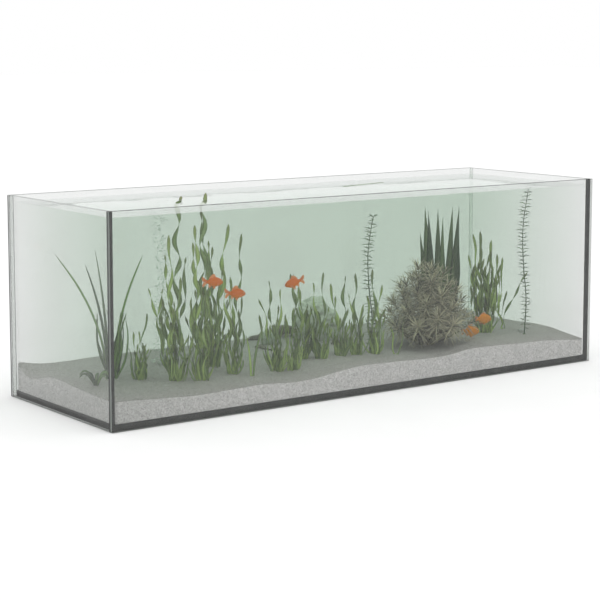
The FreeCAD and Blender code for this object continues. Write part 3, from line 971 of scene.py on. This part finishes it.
def rosette(build, nodes, number, chance):
    """Narrow leaves round the last part of a shoot, the low ones hanging and the top ones rising."""
    for k, (at, ahead) in enumerate(zip(nodes, directions(nodes))):
        t = k / (len(nodes) - 1)
        side = ahead.cross(AWAY).normalized()
        around = ahead.cross(side).normalized()
        turn = chance.uniform(0, 2)
        long = BUSH_LEAF_LONG * (1.12 - 0.30 * t)
        for j in range(ROSETTE_LEAVES):
            a = turn + 2 * pi * j / ROSETTE_LEAVES + chance.uniform(-0.22, 0.22)
            out = side * cos(a) + around * sin(a)
            rise = -0.30 + 1.4 * t ** 3 + chance.uniform(-0.12, 0.12)
            end = at + (out + ahead * rise).normalized() * long * chance.uniform(0.8, 1.12)
            if end.z < ground(end.x, end.y) + 0.002 or end.z > WATER_LEVEL:
                continue
            needle(build, at + out * 0.001, end, chance.uniform(0.0, 0.003), BUSH_LEAF_WIDE, 0.0008,
                   number + k * ROSETTE_LEAVES + j, ahead)


def bush():
    """Low bush: stalks that arch up from one crown, each ending in a rosette of narrow leaves."""
    chance = random.Random("bush")
    build, foot = Build(), foot_of("bush_plant")
    base = foot + UP * ground(foot.x, foot.y)
    low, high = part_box("bush_plant")
    half = (high - low) / 2
    crown_piece(build, foot, 0.024, 0, chance)
    for n in range(ROSETTES):
        out, a = sqrt((n + 0.5) / ROSETTES), GOLDEN_ANGLE * n
        tip = low + half + Vector((half.x * out * cos(a), half.y * out * sin(a), 0))
        tip.z = high.z - BUSH_DROP * 2 * half.z * out ** 2.2 + chance.uniform(-1, 0.5) * BUSH_JITTER
        lean = tip - base
        start = base + Vector((lean.x, lean.y, 0)) * 0.14 - UP * 0.003
        middle = start + Vector((lean.x * 0.50, lean.y * 0.50, lean.z * 0.52))
        path = spline([start, middle, tip], 24)
        tube(build, path, [0.0024 - 0.0012 * i / 23 for i in range(24)], 6, number=n + 1)
        length = length_of(path)
        last = max(4, min(20, round(24 * ROSETTE_LONG / length)))
        nodes = spline(path[-last:], ROSETTE_WHORLS)
        rosette(build, nodes, 40 + n * ROSETTE_WHORLS * ROSETTE_LEAVES, chance)
        bare = path[5:-last:4]
        for k, at in enumerate(bare):
            a = chance.uniform(0, 6.3)
            for j in range(4):
                out = level(a + j * 1.57, 0.15)
                end = at + out * BUSH_LEAF_LONG * chance.uniform(0.55, 0.85)
                if end.z > ground(end.x, end.y) + 0.002:
                    needle(build, at + out * 0.001, end, 0.002, BUSH_LEAF_WIDE * 0.8, 0.0008,
                           3000 + n * 40 + k * 4 + j, UP)
    build.piece("bush_plant_leaves", [BUSH_LEAF], "bush_leaf", stands_for=["bush_plant"])


bush()

# ---------------------------------------------------------------- stones and driftwood


def ease(t):
    t = max(0.0, min(1.0, t))
    return t * t * (3 - 2 * t)


def boulder(node, finish, seed, rough, shoulder):
    """Weathered stone with a broken, pitted surface, in the space of its CAD solid. Its top drops
    to a lower shoulder on the right."""
    low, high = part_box(node)
    middle, half = (low + high) / 2, (high - low) / 2
    build, rows, cols = Build(), 54, 96
    offset = Vector((seed, seed * 2, 0))
    wide = abs(ACROSS.x) * half.x + abs(ACROSS.y) * half.y
    rings = []
    for i in range(1, rows):
        a = pi * i / rows
        ring = []
        for k in range(cols):
            b = 2 * pi * k / cols
            x, y, z = cos(b) * sin(a) ** 0.55, sin(b) * sin(a) ** 0.55, -cos(a)
            out = Vector((x, y, z))
            cells = noise.voronoi(out * 2.3 + offset)[0]
            pits = noise.fractal(out * 4 + offset, 0.8, 2, 5)
            size = 0.92 + 0.07 * (cells[1] - cells[0]) + rough * pits - 0.08 * max(0, cells[0] - 0.3)
            size = min(size, 1.0)
            point = Vector((x * half.x, y * half.y, z * half.z)) * size
            along = point.dot(ACROSS) / wide
            if point.z > -0.2 * half.z:
                drop = shoulder * ease((along - 0.10) / 0.35) + 0.30 * shoulder * ease((-0.5 - along) / 0.3)
                point.z = -0.2 * half.z + (point.z + 0.2 * half.z) * (1 - drop)
            ring.append(middle + point)
        rings.append(build.ring(ring, [(k / cols, i / rows) for k in range(cols)]))
    poles = []
    for ring, z in ((rings[0], -1), (rings[-1], 1)):
        middle_of_ring = sum((build.points[n] for n in ring), Vector()) / cols
        poles.append((middle_of_ring + UP * z * 0.0004, (0.5, (z + 1) / 2)))
    build.shell(rings, *poles)
    build.piece(node + "_stone", [finish], "rock", stands_for=[node])


boulder("large_rock", ROCK, 3, 0.12, 0.36)
boulder("small_rock", PALE_ROCK, 7, 0.05, 0.15)

# Branches as (x, y, height over the sand) and radius, in millimetres
BRANCHES = {
    "driftwood_branch": ([(-70, 212, 2), (-56, 211, 6), (-40, 210, 6), (-20, 210, 11), (3, 211, 11),
                          (20, 211, 18), (40, 210, 18), (66, 209, 17), (84, 208, 14)],
                         [4, 6.5, 6, 7, 8, 12, 14, 13, 8]),
    "driftwood_chip": ([(-104, 124, 2), (-97, 112, 3), (-97, 94, 3), (-98, 76, 2), (-98, 58, 2)],
                       [3, 6, 4, 2, 1.6]),
    "driftwood_twig": ([(84, 42, 2), (104, 34, 5), (124, 30, 9), (146, 36, 15)], [4, 4.5, 3.5, 2]),
}
for node, (places, radii) in BRANCHES.items():
    points = [Vector((x * MM, y * MM, ground(x * MM, y * MM) + z * MM)) for x, y, z in places]
    build, count = Build(), 48
    path = spline(points, count)
    thick = []
    for i in range(count):
        t = i / (count - 1) * (len(radii) - 1)
        k = min(int(t), len(radii) - 2)
        knots = 1 + 0.16 * noise.noise(path[i] * 160)
        thick.append(between(radii[k], radii[k + 1], t - k) * MM * knots)
    tube(build, path, thick, 14, facing=UP)
    for n, p in enumerate(build.points):
        build.points[n] = p + noise.noise_vector(p * 90) * 0.0014 + noise.noise_vector(p * 320) * 0.0005
    build.piece(node + "_bark", [WOOD], "driftwood", stands_for=[node])


# A loose leaf afloat on the water, along the tank between these shares of its half length and breadth
FLOATING = ((0.22, 0.38), (0.45, 0.56))
FLOAT_CLEAR = 0.0008
FLOAT_STEPS = 24
afloat = Build()
starts, ends = FLOATING
path = []
widths = []
for i in range(FLOAT_STEPS):
    x, y = (CAD_BOX[1][k] * between(starts[k], ends[k], i / (FLOAT_STEPS - 1)) for k in (0, 1))
    path.append(Vector((x, y, WATER_LEVEL + FLOAT_CLEAR)))
    widths.append(0.0034 if i < 3 else 0.0018 - 0.00005 * i)
blade(afloat, path, widths, [0.0] * FLOAT_STEPS, 0.0008, 3, UP)
afloat.piece("floating_leaf", [GRASS], "ribbon_leaf")

# ---------------------------------------------------------------- air stones and their bubbles
STONE_TOPS = {}
for node in ("air_stone_left", "air_stone_right"):
    low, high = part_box(node)
    radius = (high.x - low.x) / 2
    centre = Vector((low.x + radius, low.y + radius, 0))
    build = Build()
    path = [centre + UP * (low.z + (high.z - low.z) * t) for t in (0.02, 0.10, 0.3, 0.5, 0.7, 0.9, 0.98)]
    tube(build, path, [radius * s for s in (0.86, 0.97, 1, 1, 1, 0.97, 0.86)], 36,
         facing=Vector((1, 0, 0)))
    for i, p in enumerate(build.points):
        build.points[i] = p + noise.noise_vector(p * 700) * 0.0005
    spout = centre + UP * (low.z + (high.z - low.z) * 0.8)
    ends = [spout + Vector((0, d, 0)) for d in (radius * 0.7, radius * 1.5, radius * 1.6,
                                                high.y - centre.y)]
    tube(build, ends, [0.002, 0.002, 0.0024, 0.0016], 16, facing=UP)
    build.piece(node + "_grit", [AIR_STONE], "air_stone", stands_for=[node])
    STONE_TOPS[node] = centre + UP * high.z


FLAT = 0.82             # how high a bubble is, as a share of its width


def bubble(build, at, radius):
    """Small bubble, a little flattened as it rises."""
    rings = []
    for i in range(1, 6):
        a = pi * i / 6
        ring = [at + Vector((sin(a) * cos(b), sin(a) * sin(b),
                             -FLAT * cos(a))) * radius
                for b in circle(8)]
        rings.append(build.ring(ring, [(k / 8, i / 6) for k in range(8)]))
    pole = UP * radius * FLAT
    build.shell(rings, (at - pole, (0.5, 0)), (at + pole, (0.5, 1)))


def bubbles(name, source, count, spread, size, fresh):
    """Column of bubbles that widens as it rises from an air stone, and a crowd of fresh ones round
    the stone."""
    chance = random.Random(name)
    build = Build()
    height = WATER_LEVEL - 0.006 - source.z
    for i in range(count):
        t = (i + chance.random()) / count
        t = t ** 1.15
        wide = spread * (0.28 + 0.72 * t ** 0.7)
        a, r = chance.uniform(0, 2 * pi), wide * sqrt(chance.random())
        sway = 0.006 * sin(9 * t + spread * 90)
        at = source + Vector((r * cos(a) + sway, r * sin(a), 0.004 + height * t))
        bubble(build, at, size * chance.uniform(0.55, 1.25) * (0.75 + 0.5 * t))
    for i in range(fresh):
        a, r = chance.uniform(0, 2 * pi), spread * (0.3 + 0.8 * sqrt(chance.random()))
        x, y = source.x + r * cos(a), source.y + r * sin(a)
        at = Vector((x, y, ground(x, y) + 0.004 + 0.05 * chance.random() ** 1.5))
        bubble(build, at, size * chance.uniform(0.6, 1.1))
    build.piece(name, [BUBBLE])


bubbles("bubbles_left", STONE_TOPS["air_stone_left"], 340, 0.026, 0.0021, 80)
bubbles("bubbles_right", STONE_TOPS["air_stone_right"], 110, 0.014, 0.0014, 8)

# ---------------------------------------------------------------- goldfish
# Heading in degrees from +X, nose pitch, body length in millimetres, how deep the body is, and
# how much plumper the whole fish is than its CAD solid
FISH = {"goldfish_1": (-12, 0, 53, 1.10, 1.0), "goldfish_2": (-14, 0, 53, 1.10, 1.0),
        "goldfish_3": (168, -12, 54, 1.04, 1.0), "goldfish_4": (-14, 0, 50, 1.16, 1.2),
        "goldfish_5": (-8, 0, 48, 1.16, 1.2)}
EYE_AT = (0.375, 0.078, 0.030)
EYE_RADIUS = 0.034
SMALL_FINS = 0.6        # the fins of the plump ones, as a share of the others' length
# Along the body as shares of its length: place, middle height, half height, half width
BODY = [(0.50, -0.030, 0.012, 0.012), (0.485, -0.026, 0.045, 0.036), (0.45, -0.016, 0.082, 0.060),
        (0.40, -0.006, 0.115, 0.082), (0.33, 0.000, 0.150, 0.104), (0.25, 0.002, 0.178, 0.120),
        (0.16, 0.004, 0.194, 0.126), (0.06, 0.004, 0.196, 0.122), (-0.04, 0.006, 0.172, 0.104),
        (-0.12, 0.010, 0.132, 0.078), (-0.19, 0.016, 0.088, 0.050), (-0.25, 0.020, 0.058, 0.030),
        (-0.30, 0.022, 0.048, 0.020)]
# Fins: root line from front to back, tip line, sideways lean of the tip line
FINS = [
    ([(-0.24, 0.07), (-0.27, 0.05), (-0.30, 0.022)], [(-0.47, 0.25), (-0.50, 0.15), (-0.44, 0.03)], 0.03),
    ([(-0.30, 0.022), (-0.27, 0.0), (-0.24, -0.02)], [(-0.44, 0.015), (-0.49, -0.11), (-0.46, -0.20)],
     -0.03),
    ([(0.20, 0.17), (0.06, 0.195), (-0.12, 0.12)], [(0.10, 0.335), (-0.03, 0.30), (-0.17, 0.165)], 0.01),
    ([(-0.05, -0.14), (-0.10, -0.11), (-0.16, -0.06)], [(-0.13, -0.235), (-0.17, -0.20), (-0.205, -0.12)],
     0.0),
] + [
    ([(0.16, -0.16), (0.12, -0.165), (0.07, -0.155)], [(0.09, -0.285), (0.05, -0.27), (0.02, -0.22)], lean)
    for lean in (0.07, -0.07)
] + [
    ([(0.30, -0.05), (0.29, -0.07), (0.27, -0.085)], [(0.19, -0.08), (0.16, -0.13), (0.17, -0.17)], lean)
    for lean in (0.13, -0.13)
]


def fin(build, root, tip, lean, side, number):
    """Thin webbed fin between two lines, with raised rays."""
    rays, steps, layers = 13, 6, []
    root = spline([Vector((x, side * (0.10 if abs(lean) > 0.1 else 0.0), z)) for x, z in root], rays)
    tip = spline([Vector((x, lean, z)) for x, z in tip], rays)
    for face in (1, -1):
        grid = []
        for i in range(rays):
            ridge = 0.006 if i % 2 == 0 else 0.002
            row = []
            for j in range(steps):
                t = j / (steps - 1)
                edge = 0.35 if j == steps - 1 and i % 2 else 1.0
                p = between(root[i], tip[i], t * (0.93 if i % 2 and j == steps - 1 else 1.0))
                row.append(p + Vector((0, face * ridge * (1 - 0.75 * t) * edge, 0)))
            uvs = [(i / (rays - 1), number + 0.98 * j / (steps - 1)) for j in range(steps)]
            grid.append(build.ring(row, uvs))
        layers.append(grid)
        for i in range(rays - 1):
            for j in range(steps - 1):
                q = (grid[i][j], grid[i + 1][j], grid[i + 1][j + 1], grid[i][j + 1])
                build.face(q if face > 0 else reversed(q), 1)
    rim = [(i, 0) for i in range(rays)] + [(rays - 1, j) for j in range(1, steps)] + \
          [(i, steps - 1) for i in range(rays - 2, -1, -1)] + [(0, j) for j in range(steps - 2, 0, -1)]
    for (i, j), (k, m) in zip(rim, rim[1:] + rim[:1]):
        build.face((layers[0][k][m], layers[0][i][j], layers[1][i][j], layers[1][k][m]), 1)


def goldfish(node, heading, pitch, length, depth, grown):
    build, sides = Build(), 20
    stations = spline([Vector((x, mid, 0)) for x, mid, high, wide in BODY], 34)
    last = None
    for i, s in enumerate(stations):
        for (x0, m0, h0, w0), (x1, m1, h1, w1) in zip(BODY, BODY[1:]):
            if x1 - 1e-6 <= s.x <= x0 + 1e-6:
                t = (x0 - s.x) / (x0 - x1)
                break
        t = t * t * (3 - 2 * t) * 0.3 + t * 0.7
        mid, high, wide = between(m0, m1, t), between(h0, h1, t), between(w0, w1, t)
        ring, uvs = [], []
        for k in range(sides):
            a = 2 * pi * k / sides
            flank = abs(cos(a)) ** 0.9
            ring.append(Vector((s.x, wide * copysign(flank, cos(a)), mid + high * sin(a))))
            uvs.append(((sin(a) + 1) / 2, i / 34 * 2 + (0.5 if cos(a) > 0 else 0)))
        ring = build.ring(ring, uvs)
        if last is not None:
            build.join(ring, last)
        else:
            build.cap(ring, Vector((0.507, 0, -0.030)), (0.5, 0), True)
        last = ring
    build.cap(last, Vector((-0.31, 0, 0.022)), (0.5, 2), False)
    for n, (root, tip, lean) in enumerate(FINS):
        if grown > 1:
            tip = [between(Vector(a), Vector(b), SMALL_FINS) for a, b in zip(root, tip)]
        fin(build, root, tip, lean, copysign(1, lean) if lean else 0, n)
    for side in (1, -1):
        centre = Vector((EYE_AT[0], side * EYE_AT[1], EYE_AT[2]))
        rings = []
        for i in range(1, 7):
            a = pi / 2 * i / 6
            r = EYE_RADIUS * sin(a)
            ring = [centre + Vector((r * cos(b), side * 0.020 * cos(a), r * sin(b))) for b in circle(16)]
            rings.append(build.ring(ring, [(k / 16, i / 6) for k in range(16)]))
        for a, b in zip(rings, rings[1:]):
            build.join(*((b, a) if side > 0 else (a, b)), 2)
        build.cap(rings[0], centre + Vector((0, side * 0.0205, 0)), (0.5, 0), side < 0, 2)
        build.cap(rings[-1], centre - Vector((0, side * 0.01, 0)), (0.5, 1), side > 0, 2)
    turn = Matrix.Rotation(radians(heading), 4, "Z") @ Matrix.Rotation(radians(-pitch), 4, "Y")
    size = Matrix.Diagonal((length * MM, length * MM, length * MM * depth, 1))
    build.points = [turn @ size @ p for p in build.points]
    low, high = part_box(node)
    build.points = [p * grown for p in build.points]
    mine = [Vector(min(p[i] for p in build.points) for i in range(3)),
            Vector(max(p[i] for p in build.points) for i in range(3))]
    shift = (low + high) / 2 - (mine[0] + mine[1]) / 2
    build.points = [p + shift for p in build.points]
    skin = GOLD_SKIN if grown > 1 else RED_SKIN
    build.piece(node + "_body", [skin, FISH_FIN, FISH_EYE], "goldfish_skin", node, [node])


for node, row in FISH.items():
    goldfish(node, *row)

# ---------------------------------------------------------------- floor, sizes and finish
FLOOR_SIZE = 60.0
floor_mesh = bpy.data.meshes.new("studio_floor")
half = FLOOR_SIZE / 2
corners = [(x * half, y * half, -0.001) for x, y in ((-1, -1), (1, -1), (1, 1), (-1, 1))]
floor_mesh.from_pydata(corners, [], [(0, 1, 2, 3)])
floor_mesh.materials.append(floor_finish())
floor = shown("studio_floor", floor_mesh)
